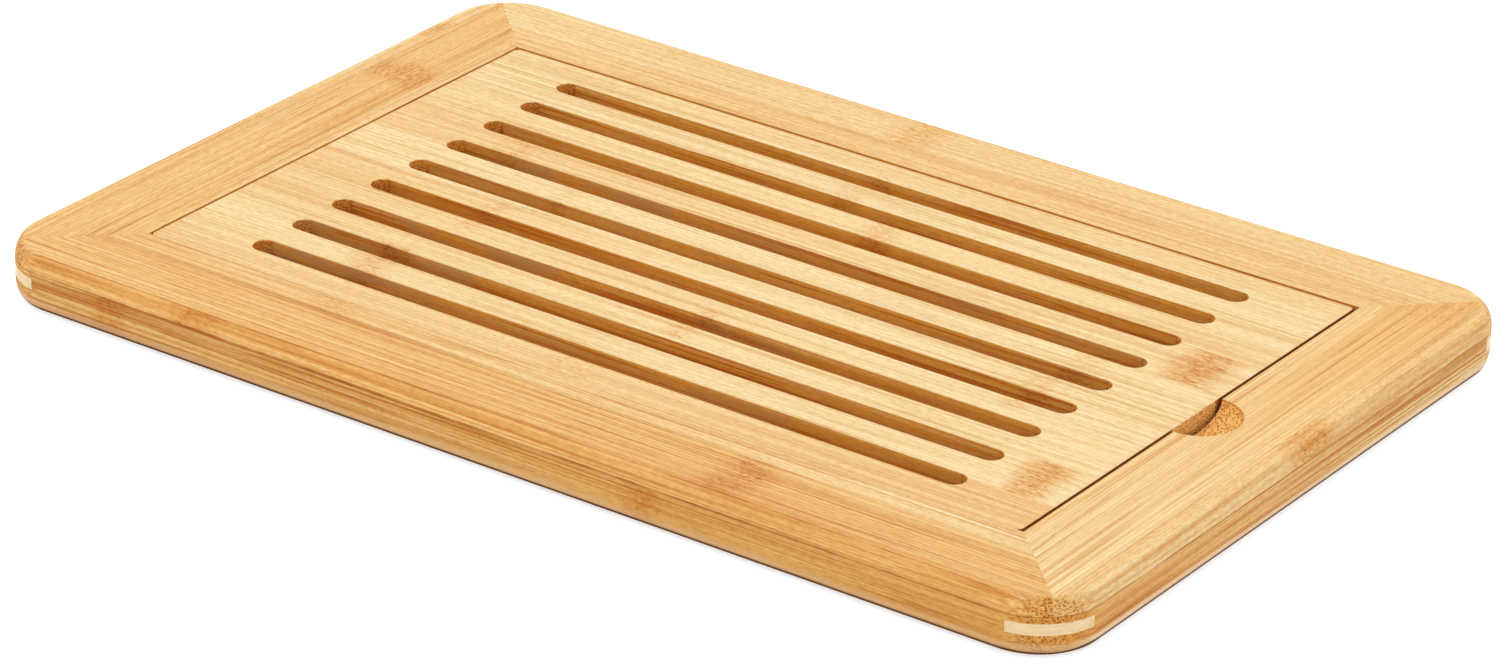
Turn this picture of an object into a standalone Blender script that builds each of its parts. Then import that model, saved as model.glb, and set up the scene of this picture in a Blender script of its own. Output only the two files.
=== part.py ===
# Bamboo bread board: a mitred two-ply frame round a crumb floor, with a slotted grille that lifts out.
# Metres, +Z up. The origin is the middle of the underside, and the long sides run along X.

from math import cos, pi, radians, sin

import bmesh
import bpy
from mathutils import Matrix, Vector

# Whole board
BOARD_LENGTH = 0.420
BOARD_WIDTH = 0.277
CORNER_RADIUS = 0.0235
ROUNDING_WIDTH = 0.0036  # the outer edge is rounded over at the top and at the foot, higher than wide
ROUNDING_HEIGHT = 0.0066
GLUE_GAP = 0.0003  # every glued joint is drawn this far open

# Frame: the upper ply frames the grille, and the lower one reaches further in as its ledge
RAIL_WIDTH = 0.038
UPPER_PLY = 0.0058
LOWER_PLY = 0.0142
LEDGE_WIDTH = 0.008

# Glue lines of each rail's upper ply, as shares of the rail's width from the outer edge inwards
FRONT_STRIP_SHARES = (0.068, 0.709)
RIGHT_STRIP_SHARES = (0.195, 0.808)
BACK_STRIP_SHARES = (0.621,)
LEFT_STRIP_SHARES = (0.226, 0.868)

# Thumb scoop in the right rail, a little deeper than its upper ply
SCOOP_RADIUS = 0.0145
SCOOP_DEPTH = 0.0064

# Pale spline let into a kerf across each mitred corner
SPLINE_HEIGHT = 0.0079  # from the underside to the spline
SPLINE_THICKNESS = 0.0039
SPLINE_DEPTH = 0.0046

# Crumb floor, held in a groove round the lower ply
FLOOR_HEIGHT = 0.002
FLOOR_THICKNESS = 0.0045
GROOVE_DEPTH = 0.006
GROOVE_PLAY = 0.0005  # room left for the panel to swell in its groove

# Grille, pushed towards the front left corner of its opening
PLAY_LEFT = 0.0004
PLAY_RIGHT = 0.0013
PLAY_FRONT = 0.0003
PLAY_BACK = 0.0008
GRILLE_DROP = 0.0003  # from the frame's top down to the grille's
GRILLE_CORNER_RADIUS = 0.002

# Slots through the grille
SLOT_COUNT = 9
SLOT_WIDTH = 0.0086
END_LAND = 0.03115  # from the ends of the slots to the grille's short edges
SIDE_LAND = 0.01675  # from the middles of the outer slots to the grille's long edges

# Staves that the grille is glued up from, in shares of the slots' pitch
BORDER_COUNT = 8
FIRST_BORDER_SHARE = 4.35  # from the middle of the grille back to its first glue line
STAVE_WIDTH_SHARE = 1.173

# Cutters run past what they cut by this
OVERRUN = 0.004

# Facets
CORNER_FACETS = 10
ROUNDING_FACETS = 6
SLOT_END_FACETS = 14
SCOOP_FACETS = 40
SHARP_ANGLE = radians(30)  # facets that meet more gently are shaded smooth

# Finish: linear colours, and one share of brightness for each piece of a kind, used in turn
UPPER_COLOUR = (0.78, 0.50, 0.20)
LOWER_COLOUR = (0.66, 0.38, 0.15)
GRILLE_COLOUR = (0.86, 0.62, 0.30)
FLOOR_COLOUR = (0.80, 0.55, 0.26)
SPLINE_COLOUR = (0.88, 0.70, 0.42)
TONE_SHARES = (1.00, 0.94, 1.04, 0.90, 1.02, 0.96, 1.06, 0.98, 0.92)
BAMBOO_ROUGHNESS = 0.48

# Worked out from the sizes above
BOARD_HEIGHT = LOWER_PLY + UPPER_PLY
HALF_GAP = GLUE_GAP / 2
OPENING_LENGTH = BOARD_LENGTH - 2 * RAIL_WIDTH
OPENING_WIDTH = BOARD_WIDTH - 2 * RAIL_WIDTH
TRAY_LENGTH = OPENING_LENGTH - 2 * LEDGE_WIDTH
TRAY_WIDTH = OPENING_WIDTH - 2 * LEDGE_WIDTH
FLOOR_TONGUE = GROOVE_DEPTH - GROOVE_PLAY
GRILLE_LENGTH = OPENING_LENGTH - PLAY_LEFT - PLAY_RIGHT
GRILLE_WIDTH = OPENING_WIDTH - PLAY_FRONT - PLAY_BACK
GRILLE_SEAT = LOWER_PLY + HALF_GAP
GRILLE_THICKNESS = BOARD_HEIGHT - GRILLE_DROP - GRILLE_SEAT
SLOT_PITCH = (GRILLE_WIDTH - 2 * SIDE_LAND) / (SLOT_COUNT - 1)


def clear_scene():
    for obj in list(bpy.data.objects):
        bpy.data.objects.remove(obj, do_unlink=True)
    for collection in list(bpy.data.collections):
        bpy.data.collections.remove(collection)


def new_collection(name):
    collection = bpy.data.collections.new(name)
    bpy.context.scene.collection.children.link(collection)
    return collection


def bamboo(name, colour, tone_share):
    material = bpy.data.materials.new(name)
    material.use_nodes = True
    shader = material.node_tree.nodes["Principled BSDF"]
    toned = [min(channel * tone_share, 1) for channel in colour]
    shader.inputs["Base Color"].default_value = (*toned, 1)
    shader.inputs["Roughness"].default_value = BAMBOO_ROUGHNESS
    shader.inputs["Metallic"].default_value = 0
    material.diffuse_color = (*toned, 1)
    return material


def mesh_object(name, bm, collection, parent=None):
    mesh = bpy.data.meshes.new(name)
    bmesh.ops.recalc_face_normals(bm, faces=bm.faces)
    bm.to_mesh(mesh)
    bm.free()
    mesh.shade_smooth()
    mesh.set_sharp_from_angle(angle=SHARP_ANGLE)
    obj = bpy.data.objects.new(name, mesh)
    collection.objects.link(obj)
    obj.parent = parent
    return obj


def empty(name, location, collection):
    obj = bpy.data.objects.new(name, None)
    obj.location = location
    obj.empty_display_size = RAIL_WIDTH
    collection.objects.link(obj)
    return obj


def as_cutter(obj):
    obj.hide_render = True
    obj.display_type = "WIRE"
    return obj


def cut(obj, cutter):
    modifier = obj.modifiers.new("cut " + cutter.name, "BOOLEAN")
    modifier.operation = "DIFFERENCE"
    modifier.solver = "EXACT"
    modifier.object = cutter


# A box with its middle at x = y = 0, from bottom to top
def box(length, width, bottom, top):
    bm = bmesh.new()
    bmesh.ops.create_cube(bm, size=1)
    bmesh.ops.scale(bm, vec=(length, width, top - bottom), verts=bm.verts)
    bmesh.ops.translate(bm, vec=(0, 0, (bottom + top) / 2), verts=bm.verts)
    return bm


def round_over(bm, edges, radius, facets):
    bmesh.ops.bevel(
        bm, geom=edges, offset=radius, segments=facets, profile=0.5, affect="EDGES", material=-1
    )


def upright_edges(bm):
    return [e for e in bm.edges if abs((e.verts[0].co - e.verts[1].co).normalized().z) > 0.5]


# The whole board's outline. It is squashed while its edges are rounded over, so they end higher than wide.
def blank(length, width):
    stretch = ROUNDING_HEIGHT / ROUNDING_WIDTH
    bm = box(length, width, 0, BOARD_HEIGHT / stretch)
    round_over(bm, upright_edges(bm), CORNER_RADIUS, CORNER_FACETS)
    flats = [face for face in bm.faces if abs(face.normal.z) > 0.5]
    rims = {edge for face in flats for edge in face.edges}
    round_over(bm, list(rims), ROUNDING_WIDTH, ROUNDING_FACETS)
    bmesh.ops.scale(bm, vec=(1, 1, stretch), verts=bm.verts)
    return bm


# One straight saw cut: what lies beyond the point, along the direction given, falls away
def saw(bm, point, beyond):
    everything = list(bm.verts) + list(bm.edges) + list(bm.faces)
    cut_through = bmesh.ops.bisect_plane(
        bm, geom=everything, plane_co=point, plane_no=beyond, clear_outer=True
    )
    rim = [e for e in cut_through["geom_cut"] if isinstance(e, bmesh.types.BMEdge)]
    bmesh.ops.edgeloop_fill(bm, edges=rim)


# A rail lies along X with its outer edge towards -Y, and reaches in from one distance to another
def rail(span, reach, near, far, upper):
    bm = blank(span, 2 * reach)
    side = 1 if upper else -1
    saw(bm, Vector((0, 0, LOWER_PLY + side * HALF_GAP)), Vector((0, 0, -side)))
    saw(bm, Vector((0, far - reach, 0)), Vector((0, 1, 0)))
    if near > 0:
        saw(bm, Vector((0, near - reach, 0)), Vector((0, -1, 0)))
    for end in (-1, 1):
        beyond = Vector((end, 1, 0)).normalized()
        corner = Vector((end * span / 2, -reach, 0))
        saw(bm, corner - beyond * HALF_GAP, beyond)
    return bm


# Each side's name, turn about Z, length along the rail, distance from the middle, and glue lines
def sides():
    half_length = BOARD_LENGTH / 2
    half_width = BOARD_WIDTH / 2
    return (
        ("front", 0, BOARD_LENGTH, half_width, FRONT_STRIP_SHARES),
        ("right", pi / 2, BOARD_WIDTH, half_length, RIGHT_STRIP_SHARES),
        ("back", pi, BOARD_LENGTH, half_width, BACK_STRIP_SHARES),
        ("left", -pi / 2, BOARD_WIDTH, half_length, LEFT_STRIP_SHARES),
    )


def upper_rails(parts, frame, scoop):
    count = 0
    for side, turn, span, reach, strip_shares in sides():
        borders = [RAIL_WIDTH * share for share in strip_shares]
        lows = [0] + [border + HALF_GAP for border in borders]
        highs = [border - HALF_GAP for border in borders] + [RAIL_WIDTH]
        for number, (near, far) in enumerate(zip(lows, highs), start=1):
            name = f"{side}_rail_upper_strip_{number}"
            strip = mesh_object(name, rail(span, reach, near, far, upper=True), parts, frame)
            strip.rotation_euler.z = turn
            tone_share = TONE_SHARES[count % len(TONE_SHARES)]
            strip.data.materials.append(bamboo(name, UPPER_COLOUR, tone_share))
            if side == "right" and far > RAIL_WIDTH - SCOOP_RADIUS:
                cut(strip, scoop)
            count += 1


def lower_rails(parts, frame, groove, kerfs, scoop):
    for count, (side, turn, span, reach, _) in enumerate(sides()):
        name = side + "_rail_lower"
        bm = rail(span, reach, 0, RAIL_WIDTH + LEDGE_WIDTH, upper=False)
        lower = mesh_object(name, bm, parts, frame)
        lower.rotation_euler.z = turn
        lower.data.materials.append(bamboo(name, LOWER_COLOUR, TONE_SHARES[count]))
        cut(lower, groove)
        for kerf in (kerfs[count - 1], kerfs[count]):
            cut(lower, kerf)
        if side == "right":
            cut(lower, scoop)


# A shallow bowl, round seen from above, half of it in the rail and half in the opening
def scoop_cutter(cutters):
    bm = bmesh.new()
    rings = SCOOP_FACETS // 2
    bmesh.ops.create_uvsphere(bm, u_segments=SCOOP_FACETS, v_segments=rings, radius=SCOOP_RADIUS)
    bmesh.ops.scale(bm, vec=(1, 1, SCOOP_DEPTH / SCOOP_RADIUS), verts=bm.verts)
    scoop = as_cutter(mesh_object("thumb_scoop_cutter", bm, cutters))
    scoop.location = (OPENING_LENGTH / 2, 0, BOARD_HEIGHT)
    return scoop


def groove_cutter(cutters):
    length = TRAY_LENGTH + 2 * GROOVE_DEPTH
    width = TRAY_WIDTH + 2 * GROOVE_DEPTH
    bottom = FLOOR_HEIGHT - GLUE_GAP
    top = FLOOR_HEIGHT + FLOOR_THICKNESS + GLUE_GAP
    return as_cutter(mesh_object("floor_groove_cutter", box(length, width, bottom, top), cutters))


# The middles of the four corner arcs, in the order in which the sides follow each other
def corner_centres():
    x = BOARD_LENGTH / 2 - CORNER_RADIUS
    y = BOARD_WIDTH / 2 - CORNER_RADIUS
    return ((x, -y, 0), (x, y, 0), (-x, y, 0), (-x, -y, 0))


# Outwards from the arc's middle lies +X here, and each corner is turned to its own diagonal
def corner_turn(number):
    return (number - 0.5) * pi / 2


def kerf_cutters(cutters):
    kerfs = []
    for number, centre in enumerate(corner_centres()):
        inner = CORNER_RADIUS - SPLINE_DEPTH - GLUE_GAP
        outer = CORNER_RADIUS + OVERRUN
        bottom = SPLINE_HEIGHT - GLUE_GAP
        top = SPLINE_HEIGHT + SPLINE_THICKNESS + GLUE_GAP
        bm = box(outer - inner, 2 * outer, bottom, top)
        bmesh.ops.translate(bm, vec=((inner + outer) / 2, 0, 0), verts=bm.verts)
        kerf = as_cutter(mesh_object(f"corner_kerf_cutter_{number + 1}", bm, cutters))
        kerf.location = centre
        kerf.rotation_euler.z = corner_turn(number)
        kerfs.append(kerf)
    return kerfs


# A slice off a disc whose facets are those of the board's corner
def corner_splines(parts, frame):
    for number, centre in enumerate(corner_centres()):
        name = ("front_right", "back_right", "back_left", "front_left")[number] + "_corner_spline"
        bm = bmesh.new()
        facet_turn = Matrix.Rotation(-corner_turn(number), 4, "Z")
        middle = Matrix.Translation((0, 0, SPLINE_HEIGHT + SPLINE_THICKNESS / 2))
        bmesh.ops.create_cone(
            bm,
            cap_ends=True,
            segments=4 * CORNER_FACETS,
            radius1=CORNER_RADIUS,
            radius2=CORNER_RADIUS,
            depth=SPLINE_THICKNESS,
            matrix=middle @ facet_turn,
        )
        saw(bm, Vector((CORNER_RADIUS - SPLINE_DEPTH, 0, 0)), Vector((-1, 0, 0)))
        spline = mesh_object(name, bm, parts, frame)
        spline.location = centre
        spline.rotation_euler.z = corner_turn(number)
        spline.data.materials.append(bamboo(name, SPLINE_COLOUR, TONE_SHARES[number]))


def crumb_floor(parts, frame):
    length = TRAY_LENGTH + 2 * FLOOR_TONGUE
    width = TRAY_WIDTH + 2 * FLOOR_TONGUE
    bm = box(length, width, FLOOR_HEIGHT, FLOOR_HEIGHT + FLOOR_THICKNESS)
    panel = mesh_object("crumb_floor", bm, parts, frame)
    panel.data.materials.append(bamboo("crumb_floor", FLOOR_COLOUR, 1))


# Places of the grille's glue lines and of its long edges, from back to front
def stave_borders():
    border_shares = [FIRST_BORDER_SHARE - number * STAVE_WIDTH_SHARE for number in range(BORDER_COUNT)]
    glue_lines = [share * SLOT_PITCH for share in border_shares]
    return [GRILLE_WIDTH / 2, *glue_lines, -GRILLE_WIDTH / 2]


def slot_places():
    return [(number - (SLOT_COUNT - 1) / 2) * SLOT_PITCH for number in range(SLOT_COUNT)]


def slot_outline():
    radius = SLOT_WIDTH / 2
    straight = GRILLE_LENGTH / 2 - END_LAND - radius
    points = []
    for end in (1, -1):
        for step in range(SLOT_END_FACETS + 1):
            angle = pi * (step / SLOT_END_FACETS - 0.5)
            points.append((end * (straight + radius * cos(angle)), end * radius * sin(angle)))
    return points


# A flat outline with thickness, made a mesh so that it can cut
def prism(name, points, thickness, collection):
    curve = bpy.data.curves.new(name, "CURVE")
    curve.dimensions = "2D"
    curve.fill_mode = "BOTH"
    curve.extrude = thickness / 2
    spline = curve.splines.new("POLY")
    spline.points.add(len(points) - 1)
    for point, (x, y) in zip(spline.points, points):
        point.co = (x, y, 0, 1)
    spline.use_cyclic_u = True
    drawn = bpy.data.objects.new(name, curve)
    collection.objects.link(drawn)
    evaluated = drawn.evaluated_get(bpy.context.evaluated_depsgraph_get())
    mesh = bpy.data.meshes.new_from_object(evaluated)
    collection.objects.unlink(drawn)
    bpy.data.objects.remove(drawn)
    bm = bmesh.new()
    bm.from_mesh(mesh)
    bpy.data.meshes.remove(mesh)
    bmesh.ops.remove_doubles(bm, verts=bm.verts, dist=GLUE_GAP / 100)
    return mesh_object(name, bm, collection)


def slot_cutters(cutters, grille):
    made = []
    for number, place in enumerate(slot_places(), start=1):
        name = f"slot_cutter_{number:02d}"
        slot = as_cutter(prism(name, slot_outline(), GRILLE_THICKNESS + 2 * OVERRUN, cutters))
        slot.parent = grille
        slot.location = (0, place, GRILLE_THICKNESS / 2)
        made.append((place, slot))
    return made


# The staves are numbered from the back. A slot that meets a glue line is cut from both staves.
def grille_staves(parts, grille, slots):
    borders = stave_borders()
    last = len(borders) - 2
    for number, (back_border, front_border) in enumerate(zip(borders[:-1], borders[1:])):
        back = back_border - (HALF_GAP if number > 0 else 0)
        front = front_border + (HALF_GAP if number < last else 0)
        bm = box(GRILLE_LENGTH, back - front, 0, GRILLE_THICKNESS)
        outer_signs = [1] * (number == 0) + [-1] * (number == last)
        for sign in outer_signs:
            corners = [e for e in upright_edges(bm) if e.verts[0].co.y * sign > 0]
            round_over(bm, corners, GRILLE_CORNER_RADIUS, ROUNDING_FACETS)
        name = f"grille_stave_{number + 1:02d}"
        stave = mesh_object(name, bm, parts, grille)
        stave.location = (0, (back + front) / 2, 0)
        tone_share = TONE_SHARES[number % len(TONE_SHARES)]
        stave.data.materials.append(bamboo(name, GRILLE_COLOUR, tone_share))
        for place, slot in slots:
            if front - SLOT_WIDTH / 2 < place < back + SLOT_WIDTH / 2:
                cut(stave, slot)


def main():
    clear_scene()
    parts = new_collection("bread_board")
    cutters = new_collection("cutters")
    frame = empty("frame", (0, 0, 0), parts)
    grille_place = ((PLAY_LEFT - PLAY_RIGHT) / 2, (PLAY_FRONT - PLAY_BACK) / 2, GRILLE_SEAT)
    grille = empty("grille", grille_place, parts)
    scoop = scoop_cutter(cutters)
    upper_rails(parts, frame, scoop)
    lower_rails(parts, frame, groove_cutter(cutters), kerf_cutters(cutters), scoop)
    corner_splines(parts, frame)
    crumb_floor(parts, frame)
    grille_staves(parts, grille, slot_cutters(cutters, grille))


main()
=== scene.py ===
import math

import bmesh
import bpy
from mathutils import Matrix, Vector


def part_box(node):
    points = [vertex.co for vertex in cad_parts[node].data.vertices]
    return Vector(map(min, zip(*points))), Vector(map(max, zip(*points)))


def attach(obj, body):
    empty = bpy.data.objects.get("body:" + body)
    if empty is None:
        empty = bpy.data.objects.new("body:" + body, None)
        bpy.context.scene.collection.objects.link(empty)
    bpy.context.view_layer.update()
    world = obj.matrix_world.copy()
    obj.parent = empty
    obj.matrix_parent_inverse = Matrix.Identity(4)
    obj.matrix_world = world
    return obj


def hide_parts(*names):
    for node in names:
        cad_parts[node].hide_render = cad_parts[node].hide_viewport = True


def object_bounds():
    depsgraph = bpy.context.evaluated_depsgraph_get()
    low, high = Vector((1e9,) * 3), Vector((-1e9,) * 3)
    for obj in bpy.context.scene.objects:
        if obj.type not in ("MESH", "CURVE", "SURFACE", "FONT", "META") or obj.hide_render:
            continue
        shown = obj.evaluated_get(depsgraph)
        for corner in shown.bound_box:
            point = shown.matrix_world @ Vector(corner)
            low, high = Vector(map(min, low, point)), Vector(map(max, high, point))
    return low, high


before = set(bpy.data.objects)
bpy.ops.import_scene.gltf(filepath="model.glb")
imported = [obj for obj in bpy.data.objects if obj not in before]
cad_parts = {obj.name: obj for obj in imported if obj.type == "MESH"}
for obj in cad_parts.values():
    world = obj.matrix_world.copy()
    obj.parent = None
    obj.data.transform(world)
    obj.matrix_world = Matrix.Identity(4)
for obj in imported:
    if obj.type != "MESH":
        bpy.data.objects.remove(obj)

# Bamboo bread board: a mitred frame of glued strips, a crumb floor and a slotted grille that lifts out
cadLow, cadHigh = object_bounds()
print("frame loaded, board", [round((high - low) * 1000, 1) for low, high in zip(cadLow, cadHigh)], "mm")


def between(lower, upper):
    return (lower + upper) / 2


camera = {
    "azimuth": 34.56,  # degrees
    "elevation": 25.63,
    "roll": 1.70,
    "distance": 2.050,  # metres
    "target": (0.0034, -0.0041, 0),
    "focalPixels": 6247,
    "pictureWidth": 1500,
    "sensorWidth": 36,  # mm
    "farEnd": 100,
}

studio = {
    "skyStrength": 1.02,
    "softboxSize": 3,  # metres
    "softboxPlace": (-1.6, 1.9, 4.4),
    "softboxPower": 40,  # watts
    "floorRadius": 40,
    "floorSegments": 64,
    "floorDrop": 0.0004,
    "floorGrey": 0.74,
    "floorLift": 0.64,  # white that the camera sees on top of the lit floor
}

board = {
    "length": cadHigh.x - cadLow.x,
    "width": cadHigh.y - cadLow.y,
    "height": cadHigh.z - cadLow.z,
    "cornerRadius": 0.0235,
    "roundingWidth": 0.0036,  # outer edges, rounded over higher than wide
    "roundingHeight": 0.0066,
    "cornerSteps": 28,
    "roundingSteps": 12,
    "easedEdge": 0.0004,  # inner edges, just taken off with sandpaper
    "easedSteps": 3,
    "bounceLightHeights": (0.0056, 0.0038),  # between these the rounded lower edge turns paler with painted bounce light from the floor
    "cornerBounceLight": 0.4,  # how much painted bounce light it gets at the corners
    "cornerFootShade": 0.0013,  # up to here a corner is darkened with painted contact shade, where the board stands
    "footFade": 0.0008,
    "innerWallsBrownAndShade": 0.9,  # how far the walls of the opening are browned, partly by painted shade down in the gaps
}

# glue is how dark the lines between the strips are, from the edge in. band is a darker band in the outermost
# strip: its place as a share of the strip's width, its strength, and its width as such a share.
sides = {
    "front": {"outward": Vector((0, -1, 0)), "strips": 3, "glue": (0.8, 0.4), "plyWidth": 0.0006,
              "band": (0.92, 0.22, 0.25)},
    "right": {"outward": Vector((1, 0, 0)), "strips": 3, "glue": (0.5, 0.3), "plyWidth": 0.0003},
    "back": {"outward": Vector((0, 1, 0)), "strips": 2, "glue": (0.3,), "plyWidth": 0.0003},
    "left": {"outward": Vector((-1, 0, 0)), "strips": 3, "glue": (0.4, 0.4), "plyWidth": 0.0003},
}

scoop = {
    "radius": 0.0145,
    "depth": 0.0064,
    "easedEdge": 0.0003,
    "easedSteps": 2,
    "segments": 64,
    "rimPlay": 0.00002,  # how far points of the rim lie off its circle
    "bowlSlope": 0.05,  # faces of the bowl look up more than this
    "bowlTop": 0.00001,  # and lie deeper than this
    "gapShadeFrom": 0.85,  # share of the radius from which the grille's end turns from lit in the scoop to painted shade in the gap
}

spline = {
    "kerfReach": 0.06,  # how far the saw runs past the corner
}

crumbFloor = {
    "play": 0.0003,  # in its groove
    "stripWidth": 0.0232,
    "jointWidth": 0.0005,  # fine grooves where its strips meet
    "jointDepth": 0.00015,
    "easedEdge": 0.0005,
    "easedSteps": 2,
}

grille = {
    "cornerRadius": 0.002,
    "slotWidth": 0.0086,
    "slotLength": 0.280,
    "slotPitch": 0.0208,
    "slots": 9,
    "easedEdge": 0.00035,
    "easedSteps": 3,
    "cornerSteps": 8,
    "slotSteps": 12,
    "mergeDistance": 0.00001,
    "staves": 9,
    "glue": 0.25,
    "walls": 1,  # how brown the slots' walls are, partly from the cutter and partly painted shade
}

# The grille's end faces lie further out than the ends of its slots
endFaces = (grille["slotLength"] / 2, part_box("grille_stave_01")[1].x)

# Linear colours of the bamboo. Every strip leans from the first of its tones over the second to the third.
bamboo = {
    "plain": ((0.900, 0.710, 0.385), (0.820, 0.500, 0.160), (0.748, 0.357, 0.066)),
    "golden": ((0.960, 0.620, 0.230), (0.860, 0.440, 0.110), (0.748, 0.357, 0.066)),
    "ivory": ((0.980, 0.790, 0.490), (0.910, 0.690, 0.380), (0.840, 0.580, 0.270)),
    "bounceLight": (0.980, 0.710, 0.410),  # painted bounce light from the floor, where the lower edge is rounded
}

# How strongly each kind of strip is marked. Bands are broad, gold 5 mm wide and streaks 2 mm, lines are
# single, threads fine and close together at their pitch in metres, and flecks short.
grains = {
    "coarse": {"bands": 0.06, "gold": 0.22, "streaks": 0.40, "lines": 0.62, "threads": 0.66, "flecks": 0.36,
               "pitch": 0.0021},
    "silky": {"bands": 0.00, "gold": 0.08, "streaks": 0.10, "lines": 0.55, "threads": 0.46, "flecks": 0.22,
              "pitch": 0.0014},
    "mixed": {"bands": 0.05, "gold": 0.24, "streaks": 0.30, "lines": 0.65, "threads": 0.45, "flecks": 0.40,
              "pitch": 0.0020},
    "fine": {"bands": 0.05, "gold": 0.20, "streaks": 0.20, "lines": 0.42, "threads": 0.34, "flecks": 0.40,
             "pitch": 0.0018},
    "stave": {"bands": 0.03, "gold": 0.10, "streaks": 0.16, "lines": 0.34, "threads": 0.40, "flecks": 0.34,
              "pitch": 0.0017},
    "lower": {"bands": 0.12, "gold": 0.35, "streaks": 0.42, "lines": 0.95, "threads": 0.60, "flecks": 0.36,
              "pitch": 0.0020},
    "plain": {"bands": 0.12, "gold": 0.10, "streaks": 0.15, "lines": 0.15, "threads": 0.12, "flecks": 0.14,
              "pitch": 0.0020},
}

# What a piece has where its own finish doesn't say otherwise
usual = {
    "tones": "plain",
    "bounceLight": 0.3,  # how much painted bounce light the rounded lower edge gets
    "foot": 0.0016,  # up to here a piece is darkened with painted contact shade, where the board stands
    "pores": (60, 1700, 1700),  # how fine they are along and across the fibres
    "endGrain": (0.12, 0.55),  # how far a face turns to the fibres' ends where end grain starts and is whole
    "wallEndGrain": (0.02, 0.3),  # the same on pieces with browned walls
    "dusty": (),
    "knuckles": (),
}

# Every strip: how far it leans to the deep tone at its left or front end and at its other end, its grain, a
# seed, and its knuckles as place along the strip, length and strength. dusty is where its slot's wall is
# dusty, as start, end and strength.
finishes = {
    # Its golden tones are partly the strip's own colour and partly a painted highlight on the rounded top
    # edge
    "frontRailStrip1": {"tones": "golden", "lean": (0.20, 0.05), "grain": "coarse", "seed": 1,
                        "knuckles": [(-0.1215, 0.015, 0.7)]},
    "frontRailStrip2": {"lean": (0.49, 0.49), "grain": "coarse", "seed": 2,
                        "knuckles": [(0.0835, 0.014, 0.8)]},
    "frontRailStrip3": {"lean": (0.46, 0.07), "grain": "coarse", "seed": 3,
                        "knuckles": [(-0.089, 0.014, 0.5)]},
    "frontRailLower": {"lean": (0.36, 0.56), "grain": "lower", "seed": 4,
                       "knuckles": [(-0.157, 0.011, 0.7), (0.057, 0.012, 0.7)]},
    "rightRailStrip1": {"lean": (0.13, 0.42), "grain": "fine", "seed": 5, "knuckles": [(0.008, 0.020, 0.8)]},
    "rightRailStrip2": {"lean": (-0.13, 0.76), "grain": "silky", "seed": 6,
                        "knuckles": [(0.117, 0.024, 0.4)]},
    "rightRailStrip3": {"lean": (0.21, 0.29), "grain": "silky", "seed": 7},
    # The right lower rail gets more painted bounce light and a higher painted contact shade at its foot
    "rightRailLower": {"lean": (1.0, -0.22), "grain": "lower", "seed": 8, "bounceLight": 0.9, "foot": 0.0024},
    "backRailStrip1": {"lean": (0.16, 0.29), "grain": "fine", "seed": 9, "knuckles": [(-0.0165, 0.015, 0.6)]},
    "backRailStrip2": {"lean": (0.26, 0.36), "grain": "fine", "seed": 10},
    "backRailLower": {"lean": (0.6, 0.6), "grain": "lower", "seed": 11, "knuckles": [(0.03, 0.011, 0.6)]},
    "leftRailStrip1": {"lean": (0.51, 0.08), "grain": "mixed", "seed": 12,
                       "knuckles": [(0.0945, 0.012, 0.7)]},
    "leftRailStrip2": {"lean": (0.46, 0.44), "grain": "mixed", "seed": 13,
                       "knuckles": [(0.0565, 0.015, 0.8)]},
    "leftRailStrip3": {"lean": (0.56, 0.12), "grain": "mixed", "seed": 14},
    "leftRailLower": {"lean": (0.7, 0.7), "grain": "lower", "seed": 15, "knuckles": [(-0.04, 0.011, 0.6)]},
    "scoopBowl": {"tones": "golden", "lean": (0.0, 0.0), "grain": "plain", "seed": 18,
                  "endGrain": (-1, -0.5), "pores": (900, 1500, 1500)},
    "crumbFloor": {"lean": (0.4, 0.4), "grain": "mixed", "seed": 16},
    "cornerSplines": {"tones": "ivory", "lean": (0.15, 0.1), "grain": "plain", "seed": 17,
                      "endGrain": (0.45, 0.9)},
    "grilleStave01": {"lean": (0.03, 0.24), "grain": "stave", "seed": 21, "dusty": [(-0.14, 0.14, 0.4)],
                      "knuckles": [(-0.115, 0.008, 0.4)]},
    "grilleStave02": {"lean": (-0.3, 0.08), "grain": "stave", "seed": 22, "knuckles": [(-0.008, 0.010, 0.5)]},
    "grilleStave03": {"lean": (0.13, 0.07), "grain": "stave", "seed": 23, "knuckles": [(0.0165, 0.011, 0.6)]},
    "grilleStave04": {"lean": (0.29, -0.03), "grain": "stave", "seed": 24,
                      "dusty": [(-0.14, -0.05, 0.8), (-0.05, 0.14, 0.4)],
                      "knuckles": [(-0.1185, 0.013, 0.5), (0.154, 0.015, 1.0)]},
    "grilleStave05": {"lean": (0.05, -0.3), "grain": "stave", "seed": 25, "dusty": [(-0.14, 0.0, 0.5)],
                      "knuckles": [(-0.083, 0.008, 0.5), (0.1235, 0.012, 0.6)]},
    "grilleStave06": {"lean": (0.34, -0.17), "grain": "stave", "seed": 26,
                      "knuckles": [(-0.0945, 0.007, 0.5), (0.1215, 0.010, 0.6)]},
    "grilleStave07": {"lean": (0.24, -0.03), "grain": "stave", "seed": 27,
                      "dusty": [(-0.125, -0.05, 0.7), (0, 0.05, 0.5)], "knuckles": [(0.0095, 0.008, 0.6)]},
    "grilleStave08": {"lean": (0.05, -0.05), "grain": "stave", "seed": 28,
                      "dusty": [(-0.145, -0.071, 0.9), (0.02, 0.07, 0.4)],
                      "knuckles": [(-0.101, 0.013, 0.7), (0.156, 0.013, 1.0)]},
    "grilleStave09": {"lean": (0.19, 0.32), "grain": "stave", "seed": 29,
                      "knuckles": [(-0.0025, 0.019, 0.4)]},
}

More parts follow.
